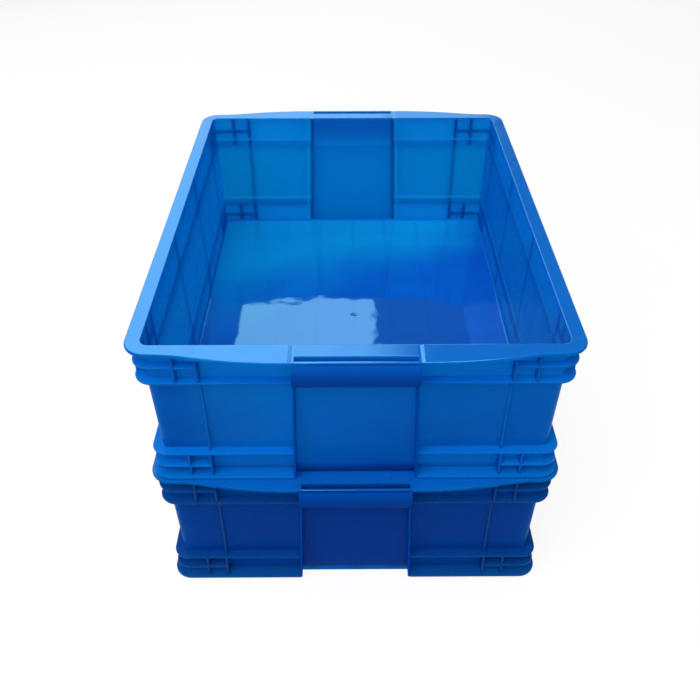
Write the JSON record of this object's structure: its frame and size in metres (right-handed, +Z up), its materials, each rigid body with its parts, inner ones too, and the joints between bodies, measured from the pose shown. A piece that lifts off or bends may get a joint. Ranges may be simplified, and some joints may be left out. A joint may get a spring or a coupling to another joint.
{
  "type": "stacking crate",
  "caption": "Open-topped moulded plastic harvest crate shown as a nested stack, with ribbed walls, flat stacking rim and bowed end grips; the upper crate lifts off.",
  "frame": {"origin": "on the ground under the middle of the stack", "axes": "+Z up, +Y along the crate's length from the front grip to the back grip, +X to the right"},
  "size_m": [0.55, 0.745, 0.4402],
  "materials": {
    "crate_plastic": "glossy, slightly translucent moulded polyolefin"
  },
  "bodies": {
    "lower_crate": {"lower_back_grip_channel": "crate_plastic", "lower_back_grip_lip": "crate_plastic", "lower_back_left_bay_rib": "crate_plastic", "lower_back_left_lower_ribs": "crate_plastic", "lower_back_left_upper_ribs": "crate_plastic", "lower_back_right_bay_rib": "crate_plastic", "lower_back_right_lower_ribs": "crate_plastic", "lower_back_right_upper_ribs": "crate_plastic", "lower_back_rim": "crate_plastic", "lower_back_wall": "crate_plastic", "lower_floor": "crate_plastic", "lower_front_grip_channel": "crate_plastic", "lower_front_grip_lip": "crate_plastic", "lower_front_left_bay_rib": "crate_plastic", "lower_front_left_lower_ribs": "crate_plastic", "lower_front_left_upper_ribs": "crate_plastic", "lower_front_right_bay_rib": "crate_plastic", "lower_front_right_lower_ribs": "crate_plastic", "lower_front_right_upper_ribs": "crate_plastic", "lower_front_rim": "crate_plastic", "lower_front_wall": "crate_plastic", "lower_left_lower_ribs": "crate_plastic", "lower_left_rim": "crate_plastic", "lower_left_upper_ribs": "crate_plastic", "lower_left_wall": "crate_plastic", "lower_right_lower_ribs": "crate_plastic", "lower_right_rim": "crate_plastic", "lower_right_upper_ribs": "crate_plastic", "lower_right_wall": "crate_plastic"},
    "upper_crate": {"upper_back_grip_channel": "crate_plastic", "upper_back_grip_lip": "crate_plastic", "upper_back_left_bay_rib": "crate_plastic", "upper_back_left_lower_ribs": "crate_plastic", "upper_back_left_upper_ribs": "crate_plastic", "upper_back_right_bay_rib": "crate_plastic", "upper_back_right_lower_ribs": "crate_plastic", "upper_back_right_upper_ribs": "crate_plastic", "upper_back_rim": "crate_plastic", "upper_back_wall": "crate_plastic", "upper_floor": "crate_plastic", "upper_front_grip_channel": "crate_plastic", "upper_front_grip_lip": "crate_plastic", "upper_front_left_bay_rib": "crate_plastic", "upper_front_left_lower_ribs": "crate_plastic", "upper_front_left_upper_ribs": "crate_plastic", "upper_front_right_bay_rib": "crate_plastic", "upper_front_right_lower_ribs": "crate_plastic", "upper_front_right_upper_ribs": "crate_plastic", "upper_front_rim": "crate_plastic", "upper_front_wall": "crate_plastic", "upper_left_lower_ribs": "crate_plastic", "upper_left_rim": "crate_plastic", "upper_left_upper_ribs": "crate_plastic", "upper_left_wall": "crate_plastic", "upper_right_lower_ribs": "crate_plastic", "upper_right_rim": "crate_plastic", "upper_right_upper_ribs": "crate_plastic", "upper_right_wall": "crate_plastic"}
  },
  "joints": [
    {"name": "upper_crate_lift", "type": "slide", "parent": "lower_crate", "child": "upper_crate", "axis": [0, 0, 1], "range_m": [0, 0.3]}
  ]
}
